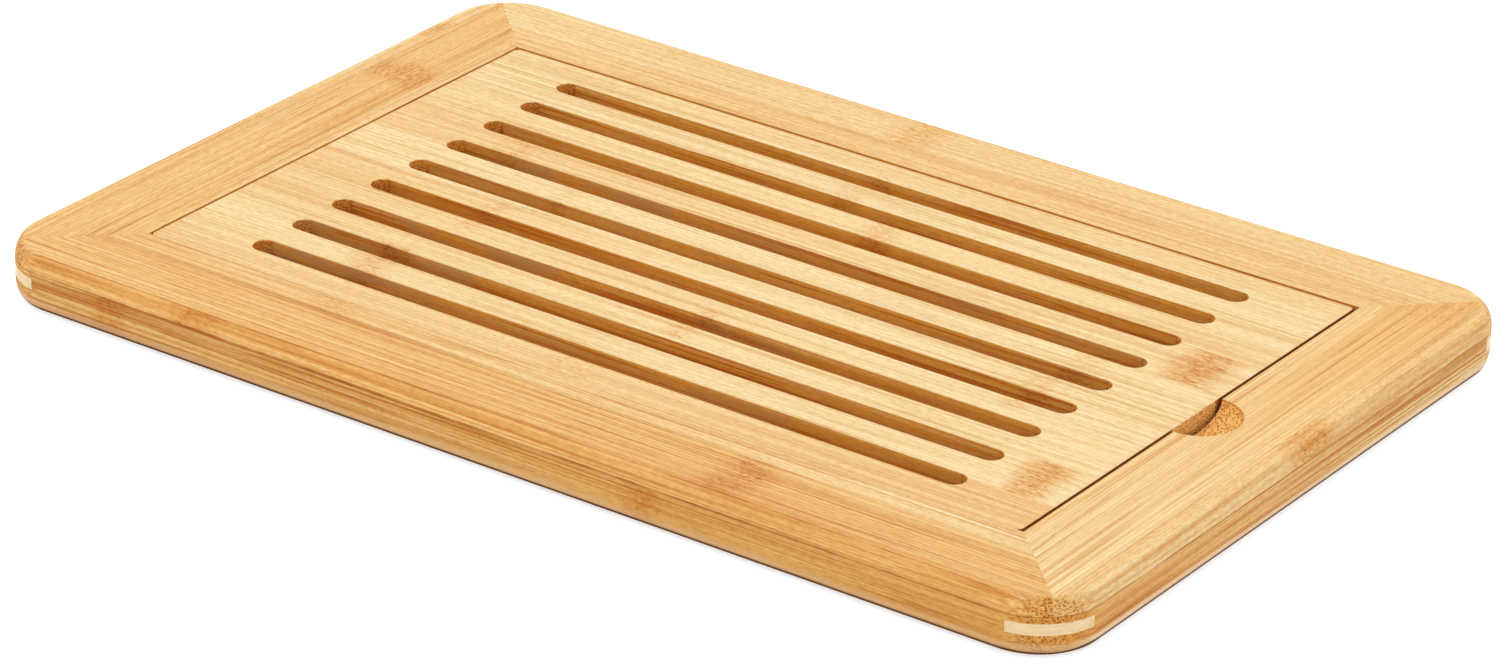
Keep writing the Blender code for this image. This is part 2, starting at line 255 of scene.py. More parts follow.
marks = {
    "line": (0.75, 0.49, 0.18),  # tints that darken the bamboo
    "gold": (0.98, 0.90, 0.62),
    "knuckle": (0.86, 0.66, 0.40),
    "dot": (0.45, 0.24, 0.10),
    "endGrain": (0.98, 0.84, 0.60),
    "pore": (0.48, 0.26, 0.11),
    # The walls' brown is partly the cutter's browning and partly painted shade
    "slotWallBrownAndShade": (0.88, 0.56, 0.17),
    "endWallShade": (0.36, 0.18, 0.07),  # painted shade on the grille's end, down in the gap
    "dust": (0.54, 0.30, 0.115),
    "foot": (0.20, 0.12, 0.07),  # painted contact shade, where the board stands
    "glue": (0.52, 0.25, 0.09),
    "glueWidth": 0.00024,
    "plyGlue": 0.8,
    "stripSpread": 0.4,  # how far strips side by side differ in tone
    "seedSpread": 40,
    "knuckleLean": 0.8,
    "bumpDepth": 0.00004,
}

# Faces that the saw or the cutter left, browned partly by the cutter and partly by painted shade
sawn = {
    "mottle": (1.6, 0.20),  # how unevenly they are browned
    "dust": 0.12,  # everywhere, besides the dusty places
    "dustStart": 0.012,  # metres in which a dusty place sets in, and in which it ends
    "dustEnd": 0.003,
    "scorch": 0.6,  # where the cutter turned at a slot's end
    "lines": 0.6,  # how much stronger lines are
    "lessShadeInScoop": 0.85,  # how much less browning and painted shade the grille's end has beside the scoop
}

# The corner between the ledge and the strips that stand on it
ledgeShade = {
    "strength": 0.8,
    "start": 0.0002,
    "width": (0.0015, 0.0011),
    "below": (0.0015, 0.0008),
}

roughness = {
    "smooth": 0.44,
    "dry": 0.60,
    "specular": 0.25,
}

sharpAngle = 30  # degrees
closeBy = 1e-6  # metres, points nearer than this count as level or in one place
weldDistance = 1e-7

# The CAD keeps its glued joints a little open. Here they close on their middles.
plyLine = between(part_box("front_rail_lower")[1].z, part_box("front_rail_upper_strip_2")[0].z)


# Shader nodes

def newGroup(name, inputs, outputs):
    tree = bpy.data.node_groups.new(name, "ShaderNodeTree")
    for way, sockets in (("INPUT", inputs), ("OUTPUT", outputs)):
        for kind, labels in sockets.items():
            for label in labels:
                tree.interface.new_socket(label, in_out=way, socket_type="NodeSocket" + kind)
    return tree, tree.nodes.new("NodeGroupInput").outputs, tree.nodes.new("NodeGroupOutput").inputs


def plug(tree, socket, value):
    if isinstance(value, bpy.types.NodeSocket):
        tree.links.new(value, socket)
    elif socket.type == "RGBA":
        socket.default_value = (*value, 1)
    else:
        socket.default_value = value


def maths(tree, operation, *values):
    node = tree.nodes.new("ShaderNodeMath")
    node.operation = operation
    for socket, value in zip(node.inputs, values):
        plug(tree, socket, value)
    return node.outputs[0]


def times(tree, first, *others):
    for other in others:
        first = maths(tree, "MULTIPLY", first, other)
    return first


def largest(tree, first, *others):
    for other in others:
        first = maths(tree, "MAXIMUM", first, other)
    return first


def vectorMaths(tree, operation, *values):
    node = tree.nodes.new("ShaderNodeVectorMath")
    node.operation = operation
    for socket, value in zip(node.inputs, values):
        plug(tree, socket, value)
    return node.outputs["Value" if operation in ("DOT_PRODUCT", "LENGTH", "DISTANCE") else "Vector"]


def softStep(tree, value, start, end):
    node = tree.nodes.new("ShaderNodeMapRange")
    node.interpolation_type = "SMOOTHSTEP"
    for label, given in (("Value", value), ("From Min", start), ("From Max", end)):
        plug(tree, node.inputs[label], given)
    return node.outputs["Result"]


def axes(tree, vector):
    node = tree.nodes.new("ShaderNodeSeparateXYZ")
    plug(tree, node.inputs["Vector"], vector)
    return node.outputs


def tint(tree, blend, factor, colour, other):
    node = tree.nodes.new("ShaderNodeMix")
    node.data_type = "RGBA"
    node.blend_type = blend
    sockets = [socket for socket in node.inputs if socket.enabled]
    for socket, value in zip(sockets, (factor, colour, other)):
        plug(tree, socket, value)
    return [socket for socket in node.outputs if socket.enabled][0]


def noise(tree, place, stretch, detail=2.0, rough=0.5, result="Fac"):
    node = tree.nodes.new("ShaderNodeTexNoise")
    plug(tree, node.inputs["Vector"], vectorMaths(tree, "MULTIPLY", place, stretch))
    node.inputs["Scale"].default_value = 1
    node.inputs["Detail"].default_value = detail
    node.inputs["Roughness"].default_value = rough
    return node.outputs[result]


def useGroup(tree, group, **values):
    node = tree.nodes.new("ShaderNodeGroup")
    node.node_tree = group
    for label, value in values.items():
        plug(tree, node.inputs[label], value)
    return node.outputs


fibreMarks = ("Bands", "Gold", "Streaks", "Lines", "Threads", "Flecks")


# x runs along the fibres. Bands are broad, streaks a few millimetres apart, threads finer and lines single.
def makeFibres():
    tree, given, made = newGroup(
        "bambooFibres",
        {"Vector": ("Grain", "Thread Stretch", "Pore Stretch"), "Float": ("Seed",)},
        {"Float": (*fibreMarks, "Pores")},
    )
    shift = vectorMaths(tree, "SCALE", (0.731, 0.377, 0.213))
    plug(tree, shift.node.inputs["Scale"], given["Seed"])
    start = vectorMaths(tree, "ADD", given["Grain"], shift)
    swing = noise(tree, start, (6, 60, 60), 1, result="Color")
    swing = vectorMaths(tree, "SUBTRACT", swing, (0.5, 0.5, 0.5))
    thread = vectorMaths(tree, "ADD", start, vectorMaths(tree, "MULTIPLY", swing, (0, 0.0017, 0.0017)))
    plug(tree, made["Bands"], softStep(tree, noise(tree, thread, (2.2, 85, 85), 1), 0.3, 0.7))
    plug(tree, made["Gold"], softStep(tree, noise(tree, thread, (2.6, 210, 210), 1), 0.50, 0.68))
    plug(tree, made["Streaks"], softStep(tree, noise(tree, thread, (2.4, 560, 560), 3, 0.8), 0.36, 0.64))
    calm = softStep(tree, noise(tree, thread, (5, 380, 380), 1), 0.35, 0.65)
    calm = maths(tree, "MULTIPLY_ADD", calm, 0.5, 0.5)
    edges = tree.nodes.new("ShaderNodeTexVoronoi")
    edges.feature = "DISTANCE_TO_EDGE"
    plug(tree, edges.inputs["Vector"], vectorMaths(tree, "MULTIPLY", thread, given["Thread Stretch"]))
    edges.inputs["Scale"].default_value = 1
    threads = softStep(tree, edges.outputs["Distance"], 0.16, 0.05)
    plug(tree, made["Threads"], times(tree, threads, calm))
    # Single lines run where a noise crosses its middle value, and break off now and then
    crossing = maths(tree, "ABSOLUTE", maths(tree, "SUBTRACT", noise(tree, thread, (2, 330, 330), 1), 0.5))
    single = softStep(tree, crossing, 0.065, 0.025)
    strong = softStep(tree, noise(tree, thread, (10, 120, 120), 1), 0.46, 0.60)
    dashes = softStep(tree, noise(tree, thread, (16, 950, 950), 1), 0.62, 0.70)
    plug(tree, made["Lines"], largest(tree, dashes, times(tree, single, strong)))
    plug(tree, made["Flecks"], softStep(tree, noise(tree, thread, (330, 1400, 1400), 2, 0.65), 0.42, 0.62))
    cells = tree.nodes.new("ShaderNodeTexVoronoi")
    plug(tree, cells.inputs["Vector"], vectorMaths(tree, "MULTIPLY", thread, given["Pore Stretch"]))
    cells.inputs["Scale"].default_value = 1
    core = softStep(tree, cells.outputs["Distance"], 0.58, 0.30)
    chance = tree.nodes.new("ShaderNodeSeparateColor")
    plug(tree, chance.inputs["Color"], cells.outputs["Color"])
    chosen = softStep(tree, chance.outputs["Red"], -0.5, 0.9)
    plug(tree, made["Pores"], times(tree, core, chosen))
    return tree


# A knuckle of the cane: a browner patch across the strip, full of short curly marks, dark and light
def makeKnuckle():
    tree, given, made = newGroup(
        "bambooKnuckle",
        {"Vector": ("Grain",), "Float": ("Middle", "Length", "Strength")},
        {"Float": ("Knuckle", "Dots", "Light")},
    )
    sway = maths(tree, "SUBTRACT", noise(tree, given["Grain"], (20, 130, 130)), 0.5)
    middle = maths(tree, "MULTIPLY_ADD", sway, 0.010, given["Middle"])
    away = maths(tree, "ABSOLUTE", maths(tree, "SUBTRACT", axes(tree, given["Grain"])["X"], middle))
    share = maths(tree, "DIVIDE", away, given["Length"])
    ragged = maths(tree, "MULTIPLY_ADD", noise(tree, given["Grain"], (120, 700, 700)), 0.6, share)
    reach = times(tree, softStep(tree, ragged, 0.95, 0.60), given["Strength"])
    warm = times(tree, softStep(tree, ragged, 1.25, 0.35), given["Strength"], given["Strength"], 0.6)
    swirl = noise(tree, given["Grain"], (170, 330, 330), 1, result="Color")
    swirl = vectorMaths(tree, "SUBTRACT", swirl, (0.5, 0.5, 0.5))
    swirl = vectorMaths(tree, "MULTIPLY", swirl, (0.003, 0.0025, 0.0025))
    strokes = noise(tree, vectorMaths(tree, "ADD", given["Grain"], swirl), (420, 1150, 1150), 2)
    dark = softStep(tree, strokes, 0.52, 0.64)
    plug(tree, made["Knuckle"], maths(tree, "MULTIPLY_ADD", times(tree, reach, dark), 0.4, warm))
    plug(tree, made["Dots"], times(tree, reach, softStep(tree, strokes, 0.66, 0.76)))
    plug(tree, made["Light"], times(tree, reach, softStep(tree, strokes, 0.48, 0.38)))
    return tree


# A glue line where a plane meets the surface, thin and broken
def makeGlueLine():
    tree, given, made = newGroup(
        "glueLine",
        {"Vector": ("Place", "Across"), "Float": ("Distance", "Width", "Strength")},
        {"Float": ("Mask",)},
    )
    reach = vectorMaths(tree, "DOT_PRODUCT", given["Place"], given["Across"])
    away = maths(tree, "ABSOLUTE", maths(tree, "SUBTRACT", reach, given["Distance"]))
    patchy = softStep(tree, noise(tree, given["Place"], (60, 60, 60), 3), 0.25, 0.65)
    width = times(tree, given["Width"], maths(tree, "MULTIPLY_ADD", patchy, 0.7, 0.4))
    line = softStep(tree, maths(tree, "DIVIDE", away, width), 1, 0.3)
    broken = maths(tree, "MULTIPLY_ADD", patchy, 0.6, 0.4)
    plug(tree, made["Mask"], times(tree, line, given["Strength"], broken))
    return tree


# Strips side by side: a number of its own for each, and the joints between them
def makeStrips():
    tree, given, made = newGroup(
        "gluedStrips",
        {"Float": ("Across", "Start", "Width", "Seed")},
        {"Float": ("Tone", "Joint")},
    )
    place = maths(tree, "DIVIDE", maths(tree, "SUBTRACT", given["Across"], given["Start"]), given["Width"])
    number = maths(tree, "FLOOR", place)
    chance = tree.nodes.new("ShaderNodeTexWhiteNoise")
    chance.noise_dimensions = "2D"
    pair = tree.nodes.new("ShaderNodeCombineXYZ")
    plug(tree, pair.inputs["X"], number)
    plug(tree, pair.inputs["Y"], given["Seed"])
    plug(tree, chance.inputs["Vector"], pair.outputs["Vector"])
    plug(tree, made["Tone"], chance.outputs["Value"])
    share = maths(tree, "SUBTRACT", place, number)
    share = maths(tree, "MINIMUM", share, maths(tree, "SUBTRACT", 1, share))
    nearest = times(tree, share, given["Width"])
    plug(tree, made["Joint"], softStep(tree, nearest, 0.00025, 0.0001))
    return tree


# Puts tones and marks together
def makeBambooColour():
    tree, given, made = newGroup(
        "bambooColour",
        {
            "Color": ("Pale", "Middle", "Deep"),
            "Float": (
                "Lean", *fibreMarks, *[mark + " Share" for mark in fibreMarks], "Pores", "Knuckle", "Dots",
                "Light", "Glue", "End Grain", "Wall", "Dust", "End Wall", "Bare", "Foot",
            ),
        },
        {"Color": ("Color",), "Float": ("Roughness", "Height")},
    )
    broad = times(tree, maths(tree, "SUBTRACT", given["Bands"], 0.5), given["Bands Share"])
    fine = times(tree, maths(tree, "SUBTRACT", given["Streaks"], 0.5), given["Streaks Share"])
    lean = maths(tree, "ADD", given["Lean"], maths(tree, "ADD", broad, fine))
    lean = maths(tree, "SUBTRACT", lean, times(tree, given["Light"], 0.4))
    lean.node.use_clamp = True
    colour = tint(tree, "MIX", times(tree, lean, 2), given["Pale"], given["Middle"])
    colour = tint(tree, "MIX", maths(tree, "MULTIPLY_ADD", lean, 2, -1), colour, given["Deep"])
    along = maths(tree, "SUBTRACT", 1, given["End Grain"])
    gold = times(tree, given["Gold"], given["Gold Share"])
    threads = times(tree, given["Threads"], along, given["Threads Share"])
    lines = times(tree, given["Lines"], along, given["Lines Share"])
    flecks = times(tree, given["Flecks"], given["Flecks Share"])
    pores = times(tree, given["Pores"], given["End Grain"])
    # Walls take brown that is partly the cutter's and partly painted shade, and the grille's end takes
    # painted shade in the gap
    for strength, mark in (
        (given["End Grain"], "endGrain"), (gold, "gold"), (threads, "line"), (lines, "line"),
        (flecks, "line"), (pores, "pore"),
        (given["Knuckle"], "knuckle"), (given["Wall"], "slotWallBrownAndShade"), (given["End Wall"], "endWallShade"),
        (given["Dots"], "dot"),
    ):
        colour = tint(tree, "MULTIPLY", strength, colour, marks[mark])
    colour = tint(tree, "MIX", given["Dust"], colour, marks["dust"])
    # Painted bounce light from the floor pales the rounded lower edge
    colour = tint(tree, "MIX", given["Bare"], colour, bamboo["bounceLight"])
    # Glue lines darken, and painted contact shade darkens the foot
    for strength, mark in ((given["Glue"], "glue"), (given["Foot"], "foot")):
        colour = tint(tree, "MULTIPLY", strength, colour, marks[mark])
    plug(tree, made["Color"], colour)
    dry = largest(tree, given["End Grain"], given["Lines"])
    span = roughness["dry"] - roughness["smooth"]
    rough = maths(tree, "MULTIPLY_ADD", dry, span, roughness["smooth"])
    plug(tree, made["Roughness"], largest(tree, rough, given["Glue"], given["Foot"]))
    hollow = maths(tree, "ADD", times(tree, lines, 0.5), times(tree, threads, 0.5))
    hollow = maths(tree, "ADD", hollow, times(tree, pores, 2))
    hollow = maths(tree, "ADD", hollow, maths(tree, "SUBTRACT", given["Knuckle"], given["Light"]))
    hollow = maths(tree, "ADD", hollow, flecks)
    plug(tree, made["Height"], maths(tree, "SUBTRACT", 1, hollow))
    return tree


fibreGroup = makeFibres()
knuckleGroup = makeKnuckle()
glueGroup = makeGlueLine()
stripsGroup = makeStrips()
colourGroup = makeBambooColour()


# Where a point lies and which way its face turns. The grain's x runs along the fibres.
def readSurface(tree, along):
    source = tree.nodes.new("ShaderNodeTexCoord")
    turn = tree.nodes.new("ShaderNodeMapping")
    turn.inputs["Rotation"].default_value = (0, 0, -math.atan2(along.y, along.x))
    plug(tree, turn.inputs["Vector"], source.outputs["Object"])
    parts = axes(tree, turn.outputs["Vector"])
    facing = vectorMaths(tree, "DOT_PRODUCT", source.outputs["Normal"], along)
    return {
        "place": source.outputs["Object"],
        "grain": turn.outputs["Vector"],
        "along": parts["X"], "across": parts["Y"], "height": parts["Z"],
        "facing": maths(tree, "ABSOLUTE", facing),
        "level": maths(tree, "ABSOLUTE", axes(tree, source.outputs["Normal"])["Z"]),
    }


def toneAlong(tree, along, ends):
    reach = board["length"] / 2
    spread = tree.nodes.new("ShaderNodeMapRange")
    for label, value in (("Value", along), ("From Min", -reach), ("From Max", reach),
                         ("To Min", ends[0]), ("To Max", ends[1])):
        plug(tree, spread.inputs[label], value)
    return spread.outputs["Result"]


def placeSeams(tree, place, seams, glue):
    for across, distance, strength, width in seams:
        line = useGroup(
            tree, glueGroup, Place=place, Across=across, Distance=distance, Width=width, Strength=strength
        )
        glue = line["Mask"] if glue == 0 else largest(tree, glue, line["Mask"])
    return glue


def placeKnuckles(tree, grain, knuckles):
    marked = {"Knuckle": 0, "Dots": 0, "Light": 0}
    for middle, length, strength in knuckles:
        knuckle = useGroup(tree, knuckleGroup, Grain=grain, Middle=middle, Length=length, Strength=strength)
        for label, value in marked.items():
            marked[label] = knuckle[label] if value == 0 else largest(tree, value, knuckle[label])
    return marked


# The rounded lower edge gets painted bounce light and the foot painted contact shade, with the corners' own
# values where end grain shows
def lowerEdge(tree, at, finish, endGrain):
    side = maths(tree, "SUBTRACT", 1, endGrain)
    pale, low = board["cornerBounceLight"], board["cornerFootShade"]
    bounceLight = maths(tree, "MULTIPLY_ADD", side, finish["bounceLight"] - pale, pale)
    foot = maths(tree, "MULTIPLY_ADD", side, finish["foot"] - low, low)
    dark = softStep(tree, at["height"], maths(tree, "ADD", foot, board["footFade"]), foot)
    bounceLight = times(tree, softStep(tree, at["height"], *board["bounceLightHeights"]), bounceLight)
    return bounceLight, times(tree, dark, softStep(tree, at["level"], 0.999, 0.97))


def shadeLedge(tree, at, outward, distance):
    inward = maths(tree, "SUBTRACT", distance, vectorMaths(tree, "DOT_PRODUCT", at["place"], outward))
    corner = times(tree, softStep(tree, inward, -ledgeShade["start"], 0),
                   softStep(tree, inward, *ledgeShade["width"]))
    below = softStep(tree, at["height"], *[plyLine - depth for depth in ledgeShade["below"]])
    return times(tree, corner, below, ledgeShade["strength"])


# Upright faces are browned partly by the saw and partly by painted shade, streaked, and dusty in places
def sawnAndShadedWalls(tree, at, finish, walls, endGrain, marked):
    brownedAndShaded = times(tree, softStep(tree, at["level"], 0.6, 0.2), walls)
    mottle = maths(tree, "MULTIPLY_ADD", noise(tree, at["grain"], (9, 750, 750), 3, 0.75), *sawn["mottle"])
    dust = sawn["dust"]
    for start, end, strength in finish["dusty"]:
        zone = times(tree, softStep(tree, at["along"], start, start + sawn["dustStart"]),
                     softStep(tree, at["along"], end + sawn["dustEnd"], end), strength)
        dust = largest(tree, dust, zone)
    cloud = softStep(tree, noise(tree, at["grain"], (45, 260, 260), 3, 0.65), 0.38, 0.66)
    dust = times(tree, dust, cloud, brownedAndShaded)

    # The grille's right end gets painted shade down in the gap, and less browning and painted shade in the
    # scoop, where light falls in
    rightEnd = softStep(tree, at["along"], between(*endFaces), endFaces[1])
    away = maths(tree, "ABSOLUTE", at["across"])
    beside = softStep(tree, away, scoop["radius"] * scoop["gapShadeFrom"], scoop["radius"])
    endWallShade = times(tree, rightEnd, beside)
    lessShadeInScoop = maths(tree, "SUBTRACT", rightEnd, endWallShade)
    endWallShade = times(tree, endWallShade, endGrain, softStep(tree, at["level"], 0.97, 0.85), walls)
    brownedAndShaded = times(tree, brownedAndShaded, maths(tree, "MULTIPLY_ADD", lessShadeInScoop, -sawn["lessShadeInScoop"], 1))

    # The cutter scorched the slots' ends, and knuckles are dark in a wall
    scorch = times(tree, softStep(tree, at["facing"], 0.03, 0.12), softStep(tree, at["facing"], 0.35, 0.2),
                   cloud, sawn["scorch"], brownedAndShaded)
    return {
        "Wall": times(tree, brownedAndShaded, mottle),
        "Dust": dust,
        "End Wall": endWallShade,
        "Dots": largest(tree, marked["Dots"], scorch, times(tree, marked["Knuckle"], brownedAndShaded)),
        "Lines Share": maths(tree, "MULTIPLY_ADD", brownedAndShaded, sawn["lines"], grains[finish["grain"]]["lines"]),
    }


# seams are glue lines as direction, distance, strength and width. walls is how far upright faces are browned,
# partly by painted shade.
# strips are the start and the width of strips side by side. ledge is where the strips above stand on it, as
# direction and distance.
def bambooMaterial(name, finish, along, seams=(), walls=0, strips=None, ledge=None):
    material = bpy.data.materials.new(name)
    material.use_nodes = True
    tree = material.node_tree
    shader = tree.nodes["Principled BSDF"]
    shader.inputs["Specular IOR Level"].default_value = roughness["specular"]
    finish = {**usual, **finish}
    at = readSurface(tree, along)
    seed = finish["seed"]
    lean = toneAlong(tree, at["along"], finish["lean"])
    glue = 0
    if strips:
        laid = useGroup(tree, stripsGroup, Across=at["across"], Start=strips[0], Width=strips[1], Seed=seed)
        spread = marks["stripSpread"]
        lean = maths(tree, "ADD", lean, maths(tree, "MULTIPLY_ADD", laid["Tone"], spread, -spread / 2))
        seed = maths(tree, "MULTIPLY_ADD", laid["Tone"], marks["seedSpread"], seed)
        glue = times(tree, laid["Joint"], softStep(tree, at["level"], 0.8, 0.95))
    glue = placeSeams(tree, at["place"], seams, glue)
    if glue != 0 and not strips:
        glue = times(tree, glue, softStep(tree, at["facing"], 0.4, 0.1))
    marked = placeKnuckles(tree, at["grain"], finish["knuckles"])
    kind = grains[finish["grain"]]
    fibres = useGroup(tree, fibreGroup, **{
        "Grain": at["grain"],
        "Seed": seed,
        "Thread Stretch": (1.2, 1 / kind["pitch"], 1 / kind["pitch"]),
        "Pore Stretch": finish["pores"],
    })
    endGrain = softStep(tree, at["facing"], *finish["wallEndGrain" if walls else "endGrain"])
    # Painted bounce light and painted contact shade along the lower edge
    bounceLight, foot = lowerEdge(tree, at, finish, endGrain)
    if ledge:
        foot = largest(tree, foot, shadeLedge(tree, at, *ledge))
    pale, middle, deep = bamboo[finish["tones"]]
    values = {
        "Pale": pale, "Middle": middle, "Deep": deep,
        "Lean": maths(tree, "MULTIPLY_ADD", marked["Knuckle"], marks["knuckleLean"], lean),
        "Glue": glue,
        "End Grain": endGrain,
        "Bare": bounceLight, "Foot": foot,
        "Pores": fibres["Pores"],
        **marked,
    }
    for mark in fibreMarks:
        values[mark] = fibres[mark]
        values[mark + " Share"] = kind[mark.lower()]
    if walls:
        values.update(sawnAndShadedWalls(tree, at, finish, walls, endGrain, marked))
    surface = useGroup(tree, colourGroup, **values)
    plug(tree, shader.inputs["Base Color"], surface["Color"])
    plug(tree, shader.inputs["Roughness"], surface["Roughness"])
    bump = tree.nodes.new("ShaderNodeBump")
    bump.inputs["Distance"].default_value = marks["bumpDepth"]
    plug(tree, bump.inputs["Height"], surface["Height"])
    plug(tree, shader.inputs["Normal"], bump.outputs["Normal"])
    return material


print("materials ready")


# Mesh helpers

def block(length, width, bottom, top):
    bm = bmesh.new()
    bmesh.ops.create_cube(bm, size=1)
    bmesh.ops.scale(bm, vec=(length, width, top - bottom), verts=bm.verts)
    bmesh.ops.translate(bm, vec=(0, 0, between(bottom, top)), verts=bm.verts)
    return bm


def roundEdges(bm, edges, radius, steps):
    bmesh.ops.bevel(
        bm, geom=edges, offset=radius, segments=steps, profile=0.5, affect="EDGES", material=-1
    )


def allParts(bm):
    return bm.verts[:] + bm.edges[:] + bm.faces[:]


def saw(bm, point, beyond):
    cut = bmesh.ops.bisect_plane(bm, geom=allParts(bm), plane_co=point, plane_no=beyond, clear_outer=True)
    rim = [part for part in cut["geom_cut"] if isinstance(part, bmesh.types.BMEdge)]
    bmesh.ops.edgeloop_fill(bm, edges=rim)


def boardBlank():
    stretch = board["roundingHeight"] / board["roundingWidth"]
    bm = block(board["length"], board["width"], 0, board["height"] / stretch)
    uprights = [e for e in bm.edges if abs(e.verts[0].co.z - e.verts[1].co.z) > board["easedEdge"]]
    roundEdges(bm, uprights, board["cornerRadius"], board["cornerSteps"])
    flats = [face for face in bm.faces if abs(face.normal.z) > 0.5]
    rims = {edge for face in flats for edge in face.edges}
    roundEdges(bm, list(rims), board["roundingWidth"], board["roundingSteps"])
    bmesh.ops.scale(bm, vec=(1, 1, stretch), verts=bm.verts)
    return bm


def cutAway(piece, cutterBm):
    cutterMesh = bpy.data.meshes.new("cutter")
    cutterBm.to_mesh(cutterMesh)
    cutterBm.free()
    cutter = bpy.data.objects.new("cutter", cutterMesh)
    bpy.context.scene.collection.objects.link(cutter)
    boolean = piece.modifiers.new("cut", "BOOLEAN")
    boolean.operation = "DIFFERENCE"
    boolean.solver = "EXACT"
    boolean.object = cutter
    evaluated = piece.evaluated_get(bpy.context.evaluated_depsgraph_get())
    piece.data = bpy.data.meshes.new_from_object(evaluated)
    piece.modifiers.remove(boolean)
    bpy.data.objects.remove(cutter)


def newObject(name, bm):
    mesh = bpy.data.meshes.new(name)
    bmesh.ops.recalc_face_normals(bm, faces=bm.faces)
    bm.to_mesh(mesh)
    bm.free()
    piece = bpy.data.objects.new(name, mesh)
    bpy.context.scene.collection.objects.link(piece)
    return piece


# Faces keep the number of their material, so slots are added and filled, not cleared
def seat(piece, node, body, slot, *materials):
    piece.data.shade_smooth()
    piece.data.set_sharp_from_angle(angle=math.radians(sharpAngle))
    while len(piece.data.materials) < len(materials):
        piece.data.materials.append(None)
    for index, material in enumerate(materials):
        piece.data.materials[index] = material
    evenShading = piece.modifiers.new("even shading", "WEIGHTED_NORMAL")
    evenShading.keep_sharp = True
    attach(piece, body)
    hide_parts(node)


# Frame

def railReach(outward):
    half = Vector((board["length"], board["width"], 0)) / 2
    along = Vector((-outward.y, outward.x, 0))
    return abs(half.dot(outward)), abs(half.dot(along)), along


def distanceIn(outward, node, inner):
    low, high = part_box(node)
    reach = railReach(outward)[0]
    corners = [reach - low.dot(outward), reach - high.dot(outward)]
    return max(corners) if inner else min(corners)


def railPiece(blank, outward, near, far, upper, inner):
    reach, halfSpan, along = railReach(outward)
    bm = blank.copy()
    saw(bm, Vector((0, 0, plyLine)), Vector((0, 0, -1 if upper else 1)))
    saw(bm, outward * (reach - far), -outward)
    if inner:
        topZ = max(v.co.z for v in bm.verts)
        onInnerFace = [
            v for v in bm.verts
            if abs(v.co.dot(outward) - (reach - far)) < closeBy and abs(v.co.z - topZ) < closeBy
        ]
        edges = [e for e in bm.edges if all(v in onInnerFace for v in e.verts)]
        roundEdges(bm, edges, board["easedEdge"], board["easedSteps"])
    if near > 0:
        saw(bm, outward * (reach - near), outward)
    for end in (-1, 1):
        corner = outward * reach + along * end * halfSpan
        saw(bm, corner, (along * end - outward).normalized())
    return bm


def scoopBowl(innerFace):
    bm = bmesh.new()
    bmesh.ops.create_uvsphere(bm, u_segments=scoop["segments"], v_segments=scoop["segments"] // 2, radius=1)
    bmesh.ops.scale(bm, vec=(scoop["radius"], scoop["radius"], scoop["depth"]), verts=bm.verts)
    bmesh.ops.translate(bm, vec=(innerFace, 0, board["height"]), verts=bm.verts)
    return bm


def scoopOut(piece, innerFace):
    cutAway(piece, scoopBowl(innerFace))
    bm = bmesh.new()
    bm.from_mesh(piece.data)
    bmesh.ops.remove_doubles(bm, verts=bm.verts, dist=weldDistance)
    top = board["height"]
    centre = Vector((innerFace, 0, top))
    rim = []
    for edge in bm.edges:
        onTop = all(abs(v.co.z - top) < closeBy for v in edge.verts)
        onRim = all(abs((v.co - centre).length - scoop["radius"]) < scoop["rimPlay"] for v in edge.verts)
        if onTop and onRim:
            rim.append(edge)
    roundEdges(bm, rim, scoop["easedEdge"], scoop["easedSteps"])
    for face in bm.faces:
        middle = face.calc_center_median()
        within = (middle - centre).length < scoop["radius"] - scoop["easedEdge"] / 2
        inBowl = within and face.normal.z > scoop["bowlSlope"] and middle.z < top - scoop["bowlTop"]
        face.material_index = 1 if inBowl else 0
    bm.to_mesh(piece.data)
    bm.free()


# Corners by name, with the way they point
corners = {}
for name in ("front_right", "back_right", "back_left", "front_left"):
    edgeName, endName = name.split("_")
    corners[name] = (sides[edgeName]["outward"] + sides[endName]["outward"]).normalized()


# The spline fills a saw kerf across the corner. Its inner face starts where the CAD piece does.
def splineSeat(name):
    low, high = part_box(name + "_corner_spline")
    outward = corners[name]
    wayX = math.copysign(1, outward.x)
    tip = Vector((wayX * board["length"] / 2, math.copysign(board["width"] / 2, outward.y), 0))
    cut = abs(tip.x) - min(abs(low.x), abs(high.x))
    return tip - outward * cut * math.sqrt(0.5), low.z, high.z


def kerf(name):
    point, bottom, top = splineSeat(name)
    outward = corners[name]
    bm = block(spline["kerfReach"], spline["kerfReach"], bottom, top)
    turn = Matrix.Rotation(math.atan2(outward.y, outward.x), 3, "Z")
    bmesh.ops.rotate(bm, cent=(0, 0, 0), matrix=turn, verts=bm.verts)
    bmesh.ops.translate(bm, vec=point + outward * spline["kerfReach"] / 2, verts=bm.verts)
    return bm


def splinePiece(blank, name):
    point, bottom, top = splineSeat(name)
    bm = blank.copy()
    saw(bm, Vector((0, 0, bottom)), Vector((0, 0, -1)))
    saw(bm, Vector((0, 0, top)), Vector((0, 0, 1)))
    saw(bm, point, -corners[name])
    return bm


def floorGroove():
    low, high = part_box("crumb_floor")
    play = crumbFloor["play"]
    return block(high.x - low.x + 2 * play, high.y - low.y + 2 * play, low.z - play, high.z + play)


def crumbFloorPiece():
    low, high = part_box("crumb_floor")
    bm = block(high.x - low.x, high.y - low.y, low.z, high.z)
    roundEdges(bm, bm.edges[:], crumbFloor["easedEdge"], crumbFloor["easedSteps"])
    # Strips meet in fine grooves, above and below
    count = round((high.y - low.y) / crumbFloor["stripWidth"])
    for number in range(1, count):
        place = low.y + (high.y - low.y) * number / count
        for offset in (-1, 0, 1):
            point = Vector((0, place + offset * crumbFloor["jointWidth"] / 2, 0))
            bmesh.ops.bisect_plane(bm, geom=allParts(bm), plane_co=point, plane_no=(0, 1, 0))
        for vert in bm.verts:
            if abs(vert.co.y - place) < closeBy:
                middle = between(low.z, high.z)
                vert.co.z -= math.copysign(crumbFloor["jointDepth"], vert.co.z - middle)
    return bm


